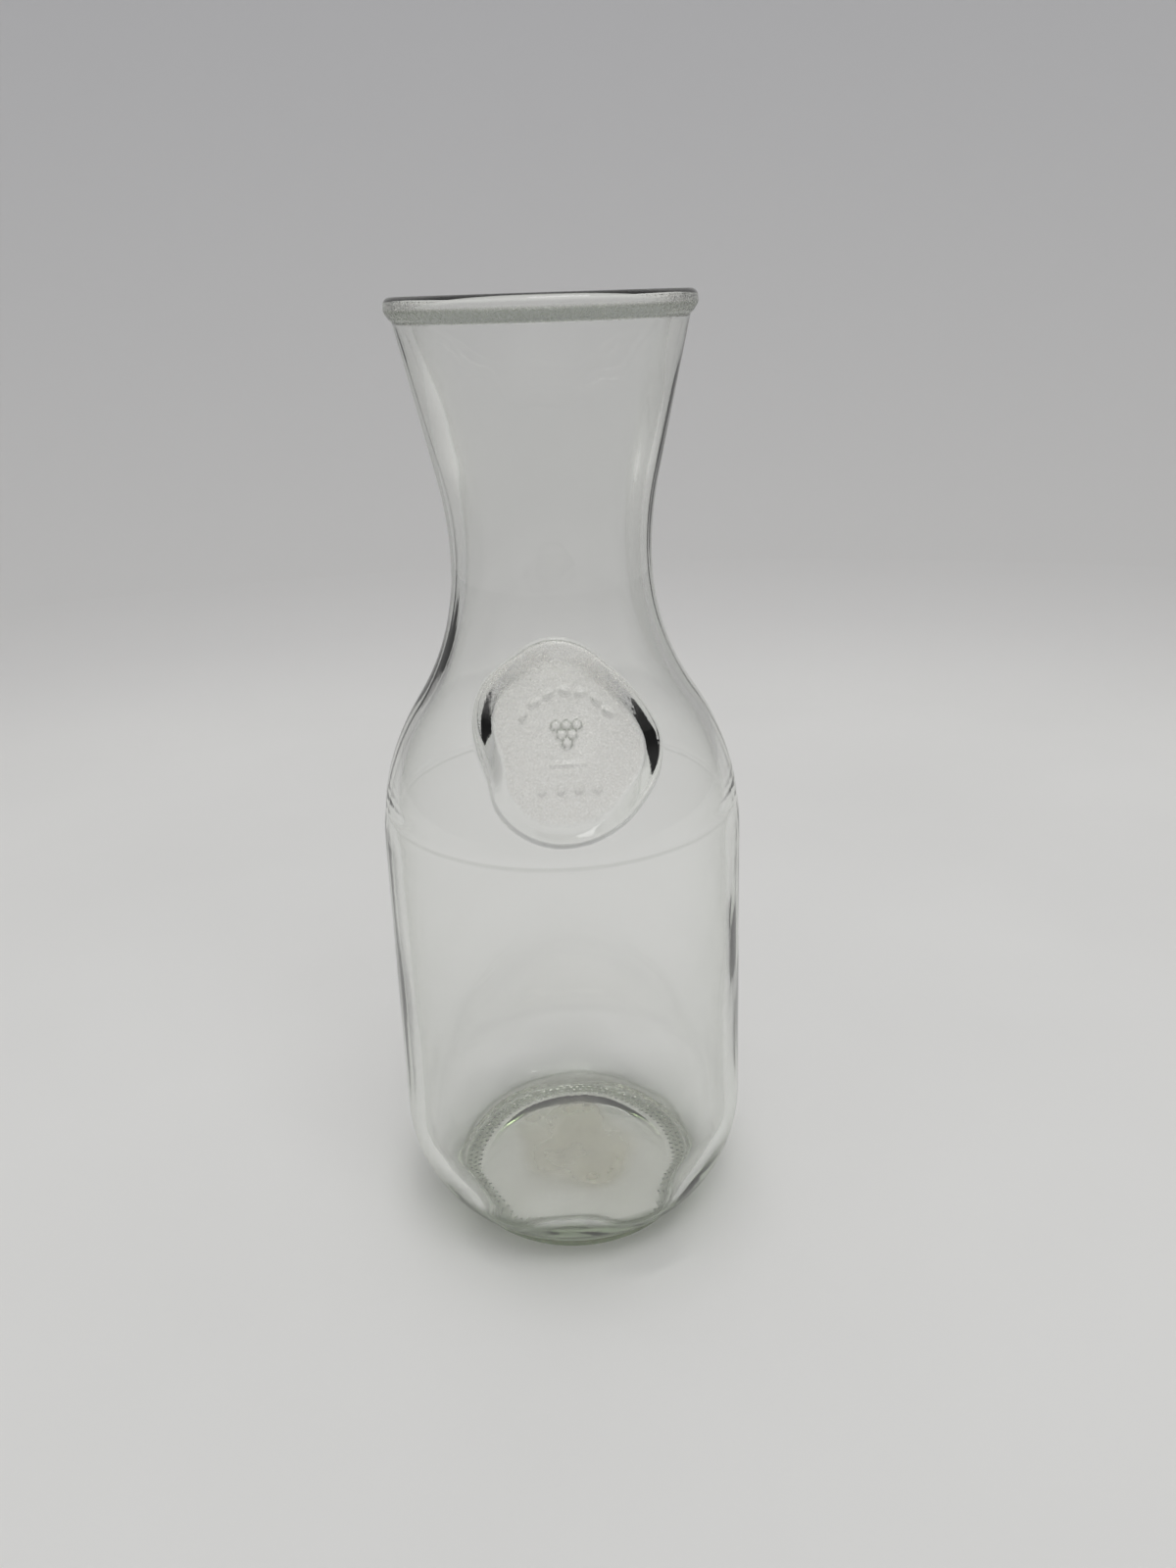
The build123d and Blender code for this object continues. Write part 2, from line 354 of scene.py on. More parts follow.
def wall_noise(seed, most_around, most_per_mm, terms=28):
    """Smooth noise of unit strength over a wall: a function of the angle and the height."""
    draw = np.random.default_rng(seed)
    around = draw.integers(0, most_around + 1, terms)
    upright = draw.uniform(-most_per_mm, most_per_mm, terms) * 2 * math.pi
    phase = draw.uniform(0, 2 * math.pi, terms)

    def noise(angle, z):
        total = np.zeros(np.broadcast(angle, z).shape)
        for a, u, p in zip(around, upright, phase):
            total += np.sin(a * angle + u * z + p)
        return total * math.sqrt(2.0 / terms)

    return noise


SAG = wall_noise(3, 3, 0.010)
STREAKS = wall_noise(5, 13, 0.008)
RIPPLES = wall_noise(8, 26, 0.045)
SKIN = wall_noise(11, 9, 0.030)
GRAIN = wall_noise(17, 170, 0.55, 60)


# ---------------------------------------------------------------- ornament on the seal

def mark_height(x, y, centre, half_size, turn=0.0):
    """Height from 0 to 1 of a soft oval mark on the seal."""
    across = (x - centre[0]) * math.cos(turn) + (y - centre[1]) * math.sin(turn)
    along = (y - centre[1]) * math.cos(turn) - (x - centre[0]) * math.sin(turn)
    reach = np.sqrt((across / half_size[0]) ** 2 + (along / half_size[1]) ** 2)
    return soft_step((1.0 - reach) * MARK_STEEPNESS)


def leaf_arc(x, y):
    """Height from 0 to 1 of an arc of small leaves, turned to and fro."""
    rise = np.zeros(x.shape)
    for i in range(LEAVES):
        angle = math.radians(90.0 + LEAF_ARC_DEG * (0.5 - i / (LEAVES - 1)))
        turn = angle - math.pi / 2 + math.radians(LEAF_TURN_DEG) * (-1) ** i
        centre = (LEAF_ARC_R * math.cos(angle), LEAF_ARC_R * math.sin(angle))
        rise = np.maximum(rise, mark_height(x, y, centre, LEAF_SIZE, turn))
    return rise


def berry_bunch(x, y):
    """Height from 0 to 1 of the berries in the middle, each row one shorter than the row above."""
    rise = np.zeros(x.shape)
    for row in range(BERRY_ROWS):
        berries = BERRY_ROWS - row
        centre_y = BERRY_TOP_Y - row * BERRY_ROW_DROP
        for i in range(berries):
            centre_x = (i - (berries - 1) / 2) * BERRY_PITCH
            reach = ((x - centre_x) ** 2 + (y - centre_y) ** 2) / BERRY_R**2
            rise = np.maximum(rise, soft_step((1.0 - reach) * MARK_STEEPNESS))
    return rise


def bar(x, y):
    """Height from 0 to 1 of a short level bar."""
    ends = soft_step((BAR_HALF_LENGTH - np.abs(x)) / 0.5)
    edges = soft_step((BAR_HALF_WIDTH - np.abs(y - BAR_Y)) / 0.45)
    return ends * edges


def lozenge_row(x, y):
    """Height from 0 to 1 of a row of upright lozenges."""
    rise = np.zeros(x.shape)
    for i in range(LOZENGES):
        centre = ((i - (LOZENGES - 1) / 2) * LOZENGE_PITCH, LOZENGE_Y)
        rise = np.maximum(rise, mark_height(x, y, centre, LOZENGE_SIZE))
    return rise


def ornament(x, y):
    """Generic raised ornament: an arc of leaves, a bunch of berries, a bar and lozenges."""
    leaves_and_lozenges = np.maximum(leaf_arc(x, y), lozenge_row(x, y))
    middle = np.maximum(BERRY_RISE * berry_bunch(x, y), BAR_RISE * bar(x, y))
    return np.maximum(leaves_and_lozenges, middle)


# ---------------------------------------------------------------- seal

SEAL_ORIGIN = np.array([0.0, -SEAL_AXIS_R, SEAL_Z])
SEAL_UP = np.array([0.0, math.sin(SEAL_TILT), math.cos(SEAL_TILT)])
SEAL_OUT = np.array([0.0, -math.cos(SEAL_TILT), math.sin(SEAL_TILT)])


def seal_outline(angle):
    """Radius of the seal's outline at an angle in its own plane, smooth and closed."""
    count = len(SEAL_RADII)
    place = (angle / (2 * math.pi) * count) % count
    low = np.floor(place).astype(int)
    t = place - low
    r = [np.take(SEAL_RADII, low + k, mode="wrap") for k in (-1, 0, 1, 2)]
    bend = 2 * r[0] - 5 * r[1] + 4 * r[2] - r[3]
    twist = 3 * (r[1] - r[2]) + r[3] - r[0]
    return r[1] + 0.5 * t * (r[2] - r[0] + t * (bend + t * twist))


def seal_places(points):
    """Where points lie across, up and out from the seal, at what angle, and how far past its outline."""
    x = points[:, 0]
    y = (points - SEAL_ORIGIN) @ SEAL_UP
    height = (points - SEAL_ORIGIN) @ SEAL_OUT
    angle = np.arctan2(y, x)
    gap = np.hypot(x, y) - seal_outline(angle)
    return x, y, height, angle, gap


def seal_rim(angle, gap):
    """The rise of the rim's inner slope, and the seal's cover: 1 on the seal, 0 outside it."""
    top = soft_step(np.sin(angle) * 4.0 - 3.0)
    bottom = soft_step(-np.sin(angle + SEAL_RIM_BOTTOM_TURN) * 1.8 - 0.7)
    side = 1 - top - bottom
    left = soft_step(-np.cos(angle) * 1.6)
    low_right = hump(wrapped(angle - SEAL_RISE_RIGHT_ANGLE), 0.0, SEAL_RISE_RIGHT_HALF_WIDTH)
    side_width = SEAL_RIM_SIDE + SEAL_RIM_LEFT_MORE * left
    side_rise = SEAL_RISE_SIDE + SEAL_RISE_LEFT_MORE * left + SEAL_RISE_RIGHT_MORE * low_right
    width = side_width * side + SEAL_RIM_TOP * top + SEAL_RIM_BOTTOM * bottom
    rise = side_rise * side + SEAL_RISE_TOP * top + SEAL_RISE_BOTTOM * bottom
    slope = rounded_ramp(1.0 + (gap + SEAL_CREST) / (width - SEAL_CREST), SLOPE_ROUNDING)
    cover = 1.0 - rounded_ramp(gap / SEAL_EDGE, EDGE_ROUNDING)
    return slope * rise, cover


def with_seal(points):
    """Points of the shoulder, raised to the seal where it covers them."""
    x, y, height, angle, gap = seal_places(points)
    slope, cover = seal_rim(angle, gap)
    around = np.arctan2(points[:, 0], -points[:, 1])
    detail = ornament(x, y) + SAND_RISE * GRAIN(around, points[:, 2])
    inside_rim = soft_step((-gap - SEAL_RIM_SIDE) / SEAL_FACE_BLEND)
    face = SEAL_PROUD - x**2 / (2 * SEAL_FACE_ARC_R) + slope + inside_rim * detail
    front = points[:, 1] < 0.0
    rise = np.where(front, np.maximum(face - height, 0.0) * cover, 0.0)
    return points + rise[:, None] * SEAL_OUT


# ---------------------------------------------------------------- rings

def on_circle(angles, r, z):
    """Points round the axis. Angle 0 faces -Y and a quarter turn faces +X."""
    r = np.broadcast_to(r, angles.shape)
    z = np.broadcast_to(z, angles.shape)
    return np.column_stack([r * np.sin(angles), -r * np.cos(angles), z])


def outside_ring(angles, r, z):
    """A ring of the outside, with its mould seams, slight waviness, crease and the seal."""
    seam = sum(hump(wrapped(angles - s), 0.0, SEAM_HALF_WIDTH / max(r, 1.0)) for s in SEAM_ANGLES)
    waves = SKIN_DEPTH * (1 + SKIN(angles, z)) * soft_step((z - SKIN_LOW_Z) / SKIN_LOW_Z)
    depth = stretch(z, *OUTSIDE_STRETCH) * (SEAM_RISE * seam - waves)
    depth = depth - CREASE_DEPTH * hump(z, CREASE_Z, CREASE_HALF_WIDTH)
    points = on_circle(angles, r + np.minimum(depth, BODY_R - r), z)
    if SEAL_LOW_Z < z < SEAL_HIGH_Z:
        return with_seal(points)
    return points


def inside_thickening(angle, z):
    """Extra glass on the inside wall: it was shaped by air alone, so it is uneven."""
    in_neck = stretch(z, *NECK_STRETCH)
    in_body = stretch(z, *BODY_STRETCH)
    thick = in_neck * (NECK_SAG * SAG(angle, z) + NECK_STREAKS * STREAKS(angle, z))
    thick += in_body * (BODY_SAG * SAG(angle, z) + BODY_STREAKS * STREAKS(angle, z))
    thick += THICK_PATCH_RISE * in_patch(angle, z, THICK_PATCH)
    thick += RIPPLE_RISE * in_patch(angle, z, RIPPLE_PATCH) * RIPPLES(angle, z)
    thick += CREASE_DEPTH * hump(z, CREASE_Z, INNER_CREASE_HALF_WIDTH)
    return thick


def floor_unevenness(angle, z):
    """How far the foot of the inside wall stands in or out of round: a rough hexagon."""
    near_floor = hump(z, FLOOR_EDGE_Z, FLOOR_EDGE_REACH)
    hexagon = np.cos(6 * angle + 0.35) + FLOOR_TRIANGLE_SHARE * np.cos(3 * angle + 0.8)
    shift = np.cos(angle - 0.6)
    return near_floor * (FLOOR_HEXAGON * hexagon + FLOOR_SKIN * SKIN(angle, z) + FLOOR_SHIFT * shift)


def inside_ring(angles, r, z):
    """A ring of the inside, with the unevenness of blown glass fading towards the axis."""
    inward = inside_thickening(angles, z) + floor_unevenness(angles, z) * min(1.0, r / 30.0)
    return on_circle(angles, r - inward * min(1.0, r / 12.0), z)


def foot_ring(angles, r, z):
    """A ring of the bearing surface: rows of small pips stand on the table, the rest is clear of it."""
    inner_r = FOOT_R - FOOT_WIDTH
    width = FOOT_WIDTH - FOOT_EDGE_R
    row = np.clip((r - inner_r) / width, 0.0, 1.0) * PIP_ROWS
    stagger = 0.5 * (int(min(row, PIP_ROWS - 1e-6)) % 2)
    across = np.cos(2 * math.pi * row - math.pi)
    along = np.cos(2 * math.pi * (angles / (2 * math.pi) * PIP_COUNT + stagger))
    pip = soft_step(0.5 + 0.5 * across) * soft_step(0.35 + 0.65 * along)
    return on_circle(angles, r, z + PIP_DEPTH * (1.0 - pip))


def even_angles(count):
    """Columns at even angles all round."""
    return np.linspace(-math.pi, math.pi, count, endpoint=False)


def seamed_angles(count):
    """Even columns, with narrow ones added at the mould seams."""
    near = np.radians(SEAM_COLUMNS_DEG)
    extra = np.concatenate([s + near for s in SEAM_ANGLES])
    gap = np.min(np.abs(wrapped(even_angles(count)[:, None] - extra)), axis=1)
    kept = even_angles(count)[gap > SEAM_CLEARANCE]
    return np.sort(np.concatenate([kept, extra]))


def seal_angles(count, spacing_deg):
    """The seamed columns, with close ones across the seal."""
    outer = seamed_angles(count)
    outer = outer[np.abs(outer) > SEAL_REACH + math.radians(1.0)]
    steps = int(2 * math.degrees(SEAL_REACH) / spacing_deg)
    return np.sort(np.concatenate([outer, np.linspace(-SEAL_REACH, SEAL_REACH, steps)]))


# ---------------------------------------------------------------- mesh of rings

class RingMesh:
    """Collects rings of points and joins each to the last, whatever their columns."""

    def __init__(self):
        self.points = []
        self.faces = []
        self.last = None

    def pole(self, point):
        """One point on the axis, which starts or ends the mesh."""
        index = len(self.points)
        self.points.append(tuple(point))
        if self.last is not None:
            start, angles = self.last
            n = len(angles)
            self.faces += [(start + i, start + (i + 1) % n, index) for i in range(n)]
        self.last = (index, None)

    def ring(self, angles, points):
        """A ring of points, joined to the ring or pole before it."""
        start = len(self.points)
        self.points += [tuple(p) for p in points]
        if self.last is not None:
            self.join(start, angles)
        self.last = (start, angles)

    def join(self, start, angles):
        """A fan from a pole, quads between equal rings, or triangles between unequal ones."""
        before, old = self.last
        n = len(angles)
        if old is None:
            self.faces += [(before, start + (i + 1) % n, start + i) for i in range(n)]
        elif len(old) == n and np.allclose(old, angles):
            for i in range(n):
                j = (i + 1) % n
                self.faces.append((before + i, before + j, start + j, start + i))
        else:
            self.zip_rings(before, old, start, angles)

    def zip_rings(self, before, old, start, new):
        """Triangles between two rings whose columns differ."""
        n = len(old)
        m = len(new)
        old_ends = np.append(old[1:], old[0] + 2 * math.pi)
        new_ends = np.append(new[1:], new[0] + 2 * math.pi)
        i = 0
        j = 0
        while i < n or j < m:
            a = before + i % n
            b = start + j % m
            if j >= m or (i < n and old_ends[i] <= new_ends[j]):
                self.faces.append((a, before + (i + 1) % n, b))
                i += 1
            else:
                self.faces.append((a, start + (j + 1) % m, b))
                j += 1

    def lay(self, profile, start, bands):
        """Rings along a profile from a start index; a band is (end index, spacing, columns, shape)."""
        for end, spacing, angles, shape in bands:
            count = max(1, round(abs(end - start) * TRACE_STEP / spacing))
            for place in np.linspace(start, end, count, endpoint=False):
                r, z = profile[int(round(place))]
                self.ring(angles, shape(angles, r, z))
            start = end

    def mesh(self, name):
        """The Blender mesh, in metres."""
        mesh = bpy.data.meshes.new(name)
        mesh.from_pydata([tuple(METRES * c for c in p) for p in self.points], [], self.faces)
        mesh.update()
        mesh.shade_smooth()
        return mesh


def steps(length):
    """How many trace steps a length along a profile takes."""
    return int(round(length / TRACE_STEP))


def first_above(profile, z, start=0):
    """Index of the first point at or above a height, from start on."""
    return start + int(np.argmax(profile[start:, 1] >= z))


def first_below(profile, z):
    """Index of the first point at or below a height."""
    return int(np.argmax(profile[:, 1] <= z))


def first_out(profile, r):
    """Index of the first point at or beyond a radius."""
    return int(np.argmax(profile[:, 0] >= r))


def first_in(profile, r):
    """Index of the first point at or within a radius."""
    return int(np.argmax(profile[:, 0] <= r))


def add_outside(rings):
    """Push-up, foot, heel, body, seal, neck and collar, from the centre of the push-up to the rim."""
    outside = fire_polish(outside_profile(), OUTSIDE_SOFTNESS)
    body = seamed_angles(COLUMNS)
    foot_start = first_out(outside, FOOT_R - FOOT_WIDTH)
    foot_end = first_out(outside, FOOT_R - FOOT_EDGE_R)
    rings.pole((0.0, 0.0, outside[0][1]))
    rings.lay(
        outside,
        steps(2.0),
        [
            (steps(8.0), 2.0, even_angles(FEW_COLUMNS), on_circle),
            (foot_start - steps(2.5), 1.7, even_angles(SOME_COLUMNS), on_circle),
            (foot_start, 0.8, body, on_circle),
            (foot_end, 0.28, even_angles(PIP_COLUMNS), foot_ring),
            (first_above(outside, FOOT_CORNER_Z, foot_end), 0.35, body, outside_ring),
            (first_above(outside, HEEL_MIDDLE_Z, foot_end), 0.6, body, outside_ring),
            (first_above(outside, HEEL_TOP_Z, foot_end), 1.5, body, outside_ring),
            (first_above(outside, SEAL_LOW_Z, foot_end), 2.6, body, outside_ring),
            (
                first_above(outside, SEAL_HIGH_Z, foot_end),
                0.47,
                seal_angles(COLUMNS, SEAL_COLUMN_DEG),
                outside_ring,
            ),
            (first_above(outside, COLLAR_BOTTOM_Z - 1.5, foot_end), 2.0, body, outside_ring),
            (len(outside) - 1, 0.32, body, outside_ring),
        ],
    )


def add_inside(rings):
    """Lip, throat, body, heel and floor, from the rim to the centre of the floor."""
    throat = fire_polish(lip_and_throat(), LIP_SOFTNESS)
    base = fire_polish(heel_and_floor(), HEEL_SOFTNESS)
    body = seamed_angles(COLUMNS)
    rings.lay(
        throat,
        0,
        [
            (first_below(throat, CAVITY_FLARE_TOP_Z), 0.4, body, inside_ring),
            (first_below(throat, CAVITY_SHOULDER_Z + 14.0), 2.2, body, inside_ring),
            (first_below(throat, CAVITY_SHOULDER_Z), 0.8, body, inside_ring),
            (len(throat) - 1, 2.4, body, inside_ring),
        ],
    )
    rings.lay(
        base,
        0,
        [
            (first_below(base, FLOOR_Z + 8.0), 1.6, body, inside_ring),
            (first_in(base, FLOOR_RING_R), 0.6, body, inside_ring),
            (len(base) - steps(9.0), 1.6, even_angles(SOME_COLUMNS), inside_ring),
            (len(base) - steps(2.0), 2.0, even_angles(FEW_COLUMNS), inside_ring),
        ],
    )
    rings.pole((0.0, 0.0, base[-1][1]))


# ---------------------------------------------------------------- masks for the material

# Strengths, places and sizes of the masks
SEAL_SIDE_X = 30.0
NECK_INSIDE_R = 24.9
FACE_FROST = 0.65
FILM_THIN = 0.30
BLOT_R = 22.5
BLOT_FADE = 7.0
# Painted shade: how high up the heel the dark green goes and how it fades, and how much of it the floor's
# corner, the collar and the berries' sides get
HEEL_SHADE_TOP_Z = 22.5
HEEL_SHADE_FADE = 5.0
HEEL_SKIN = 1.2
CORNER_R = 35.5
CORNER_HALF_WIDTH = 0.6
CORNER_SHADE = 0.5
COLLAR_SHADE = 0.8
BERRY_SHADE = 0.9


def frost_mask(r, z, angle, gap, cover, face):
    """Where the surface is sandy: the seal's face, the band over it and the collar's slope."""
    in_rim = soft_step((gap + SEAL_RIM_TOP + 0.5) / 1.5)
    band = cover * in_rim * soft_step(np.sin(angle) * 2.2 - 0.6)
    return np.clip(FACE_FROST * face + band + collar_slope(r, z), 0.0, 1.0)


def collar_slope(r, z):
    """Whether points are on the collar, below its upright land."""
    return (z > COLLAR_BOTTOM_Z - 0.6) & (z < COLLAR_LAND_Z + 0.7) & (r > COLLAR_R - 3.0)


def stain_mask(r, z, around):
    """Where residue has dried: a thin film over the floor, thicker in an uneven blot in its middle."""
    on_floor = (z > FLOOR_Z - 1.0) & (z < FLOOR_Z + FLOOR_CROWN + 1.2) & (r < 36.0)
    blot_r = BLOT_R + 2.4 * np.sin(2 * around + 0.5) + 1.5 * np.sin(5 * around)
    return on_floor * (FILM_THIN + (1.0 - FILM_THIN) * soft_step((blot_r - r) / BLOT_FADE))


def painted_shade_mask(r, z, berries):
    """Painted shade, dark where thick glass looks dark: round the heel, at the floor's edge, the collar
    and the sides of the berries.
    """
    below = np.clip((HEEL_TOP_Z - z) / HEEL_HEIGHT, 0.0, 1.0)
    heel_r = BODY_R - HEEL_DEPTH * (1.0 - np.sqrt(1.0 - below**2))
    heel = (r > heel_r - HEEL_SKIN) * soft_step((HEEL_SHADE_TOP_Z - z) / HEEL_SHADE_FADE)
    by_floor = (z > FLOOR_Z - 2.0) & (z < FLOOR_Z + 6.0) & (r < CORNER_R + 2.0)
    corner = by_floor * hump(r, CORNER_R, CORNER_HALF_WIDTH)
    collar = collar_slope(r, z) * soft_step(COLLAR_LAND_Z + 0.9 - z)
    berry_sides = 4.0 * berries * (1.0 - berries)
    shade_share = heel + CORNER_SHADE * corner + COLLAR_SHADE * collar + BERRY_SHADE * berry_sides
    return np.clip(shade_share, 0.0, 1.0)


def paint_masks(mesh, points):
    """Stores the masks on the mesh's points. Those of the seal take in the inside wall behind it."""
    r = np.hypot(points[:, 0], points[:, 1])
    z = points[:, 2]
    around = np.arctan2(points[:, 0], -points[:, 1])
    x, y, height, angle, gap = seal_places(points)
    at_front = (points[:, 1] < 0) & (np.abs(x) < SEAL_SIDE_X) & (r > NECK_INSIDE_R)
    cover = seal_rim(angle, gap)[1] * (at_front & (z > SEAL_LOW_Z) & (z < SEAL_HIGH_Z))
    face = cover * soft_step((-gap - SEAL_RIM_SIDE + 0.2) / 0.8)
    masks = {
        "frost": frost_mask(r, z, angle, gap, cover, face),
        "stain": stain_mask(r, z, around),
        # painted shade: dark green where thick glass looks dark
        "painted_shade": painted_shade_mask(r, z, berry_bunch(x, y) * face),
    }
    for name, values in masks.items():
        layer = mesh.attributes.new(name, "FLOAT", "POINT")
        layer.data.foreach_set("value", values.astype(np.float32))


def make_carafe():
    """The closed glass mesh, with its masks."""
    rings = RingMesh()
    add_outside(rings)
    add_inside(rings)
    mesh = rings.mesh("carafe_glass")
    paint_masks(mesh, np.array(rings.points))
    piece = bpy.data.objects.new("carafe_glass", mesh)
    bpy.context.scene.collection.objects.link(piece)
    return piece


# ---------------------------------------------------------------- materials

# Looks of the glass, with sizes in millimetres, and of the paper, with heights in metres
CLEAR = (1.0, 1.0, 1.0, 1.0)
RESIDUE = (0.66, 0.63, 0.48, 1.0)
SANDED = (0.94, 0.92, 0.89, 1.0)
# Dark green painted on as shade where thick glass looks dark
PAINTED_SHADE_GREEN = (0.24, 0.28, 0.21, 1.0)
GLASS_DEPTH = (0.85, 0.90, 0.79, 1.0)
GLASS_DENSITY = 18.0
GLASS_IOR = 1.5
# How much painted shade the crease and the grazing edges get, and over what widths round the crease
CREASE_SHADE = 0.26
CREASE_CORE = 0.2
CREASE_FADE = 0.7
GRAZING_SHADE = 0.75
GRAZING_POWER = 3.5
FILM_CLOUD = 0.50
FILM_ROUGHNESS = 0.35
SAND_CLOUD = 0.40
PIT_DEPTH = 0.4
PIT_STRENGTH = 0.35
SMOOTH_PITS = 0.02
PAPER = ((0.80, 0.798, 0.790, 1.0), (0.83, 0.828, 0.820, 1.0))
PAPER_ROUGHNESS = 0.7
PAPER_SHINE = 0.15
# The wall's paper is painted darker towards its top, as shade, between these two heights
WALL_LOW = (0.77, 0.765, 0.765, 1.0)
WALL_HIGH_SHADED = (0.615, 0.615, 0.635, 1.0)
WALL_LOW_Z = 0.04
WALL_HIGH_Z = 0.45


class Nodes:
    """Short ways to add and join the shader nodes of a material or a world."""

    MIX_COLOURS = (6, 7)
    MIX_RESULT = 2

    def __init__(self, owner):
        owner.use_nodes = True
        self.tree = owner.node_tree
        self.tree.nodes.clear()

    def add(self, kind, **settings):
        """A new node of a kind, with some of its settings."""
        node = self.tree.nodes.new(kind)
        for key, value in settings.items():
            setattr(node, key, value)
        return node

    def feed(self, source, target):
        """Gives an input another node's output, or a plain value."""
        if isinstance(source, bpy.types.NodeSocket):
            self.tree.links.new(source, target)
        else:
            target.default_value = source

    def math(self, operation, *values):
        """The result of an operation on outputs or plain numbers."""
        node = self.add("ShaderNodeMath", operation=operation)
        for value, socket in zip(values, node.inputs):
            self.feed(value, socket)
        return node.outputs[0]

    def mix(self, share, first, second):
        """A colour between the first and the second; a share of 1 gives the second."""
        node = self.add("ShaderNodeMix", data_type="RGBA")
        self.feed(share, node.inputs[0])
        for colour, socket in zip((first, second), self.MIX_COLOURS):
            self.feed(colour, node.inputs[socket])
        return node.outputs[self.MIX_RESULT]

    def remap(self, value, low, high, to_low=0.0, to_high=1.0, shape="LINEAR"):
        """A value's place between low and high, as a place between two others, held at both ends."""
        node = self.add("ShaderNodeMapRange", interpolation_type=shape)
        for v, socket in zip((value, low, high, to_low, to_high), node.inputs):
            self.feed(v, socket)
        return node.outputs[0]

    def noise(self, scale, detail, rough):
        """Soft noise from 0 to 1, fixed to the object."""
        node = self.add("ShaderNodeTexNoise")
        self.feed(self.add("ShaderNodeTexCoord").outputs["Object"], node.inputs["Vector"])
        self.feed(scale, node.inputs["Scale"])
        self.feed(detail, node.inputs["Detail"])
        self.feed(rough, node.inputs["Roughness"])
        return node.outputs["Fac"]

    def place(self, kind, axis):
        """One axis of a kind of texture coordinate."""
        axes = self.add("ShaderNodeSeparateXYZ")
        self.feed(self.add("ShaderNodeTexCoord").outputs[kind], axes.inputs[0])
        return axes.outputs[axis]

    def attribute(self, name):
        """A mask stored on the mesh's points."""
        return self.add("ShaderNodeAttribute", attribute_name=name).outputs["Fac"]

    def output(self, kind, **sockets):
        """Adds the output node and feeds its sockets."""
        node = self.add(kind)
        for name, source in sockets.items():
            self.feed(source, node.inputs[name])


def painted_glass_shade(n):
    """Share of the painted dark green shade: the painted shade mask, the crease and grazing edges, as
    light enters only.
    """
    # Painted shade along the crease, and a painted dark outline at grazing edges
    from_crease = n.math("ABSOLUTE", n.math("SUBTRACT", n.place("Object", "Z"), CREASE_Z * METRES))
    crease = n.remap(from_crease, CREASE_CORE * METRES, CREASE_FADE * METRES, CREASE_SHADE, 0.0)
    weight = n.add("ShaderNodeLayerWeight")
    n.feed(0.5, weight.inputs["Blend"])
    edge = n.math("MULTIPLY", n.math("POWER", weight.outputs["Facing"], GRAZING_POWER), GRAZING_SHADE)
    strongest = n.math("MAXIMUM", n.math("MAXIMUM", n.attribute("painted_shade"), crease), edge)
    entering = n.math("SUBTRACT", 1.0, n.add("ShaderNodeNewGeometry").outputs["Backfacing"])
    return n.math("MULTIPLY", entering, strongest)


def glass_pits(n, frost):
    """Bump of the fine pits in the sandy parts, all but gone elsewhere."""
    bump = n.add("ShaderNodeBump")
    strength = n.math("ADD", frost, SMOOTH_PITS)
    pits = n.math("MULTIPLY", n.noise(scale=900.0, detail=2.0, rough=0.5), strength)
    n.feed(pits, bump.inputs["Height"])
    n.feed(PIT_STRENGTH, bump.inputs["Strength"])
    n.feed(PIT_DEPTH * METRES, bump.inputs["Distance"])
    return bump.outputs[0]


def glass_material():
    """Clear soda-lime glass: tinted through its depth, sandy on the seal, stained on the floor, with dark
    green shade painted on where thick glass, the crease and grazing edges look dark.
    """
    material = bpy.data.materials.new("clear_glass")
    n = Nodes(material)
    frost = n.attribute("frost")
    speckle = n.remap(n.noise(scale=1500.0, detail=3.0, rough=0.6), 0.42, 0.62)
    blotch = n.remap(n.noise(scale=70.0, detail=3.0, rough=0.5), 0.30, 0.70)
    film = n.math("MULTIPLY", n.attribute("stain"), n.math("MULTIPLY_ADD", blotch, 0.30, 0.50))
    sand = n.math("MULTIPLY", frost, n.math("MULTIPLY_ADD", speckle, 0.7, 0.3))
    smears = n.remap(n.noise(scale=42.0, detail=4.0, rough=0.55), 0.50, 0.75, 0.0, 0.035)
    rough = n.math("MULTIPLY_ADD", frost, n.math("MULTIPLY_ADD", speckle, 0.28, 0.10), smears)
    rough = n.math("MULTIPLY_ADD", film, FILM_ROUGHNESS, rough)
    colour = n.mix(film, CLEAR, RESIDUE)
    colour = n.mix(sand, colour, SANDED)
    # Dark green painted shade over all the rest
    colour = n.mix(painted_glass_shade(n), colour, PAINTED_SHADE_GREEN)
    cloud = n.math("MULTIPLY_ADD", sand, SAND_CLOUD, n.math("MULTIPLY", film, FILM_CLOUD))
    surface = n.add("ShaderNodeBsdfPrincipled")
    n.feed(colour, surface.inputs["Base Color"])
    n.feed(rough, surface.inputs["Roughness"])
    n.feed(GLASS_IOR, surface.inputs["IOR"])
    n.feed(n.math("SUBTRACT", 1.0, cloud), surface.inputs["Transmission Weight"])
    n.feed(glass_pits(n, frost), surface.inputs["Normal"])
    depth = n.add("ShaderNodeVolumeAbsorption")
    n.feed(GLASS_DEPTH, depth.inputs["Color"])
    n.feed(GLASS_DENSITY, depth.inputs["Density"])
    n.output("ShaderNodeOutputMaterial", Surface=surface.outputs[0], Volume=depth.outputs[0])
    return material


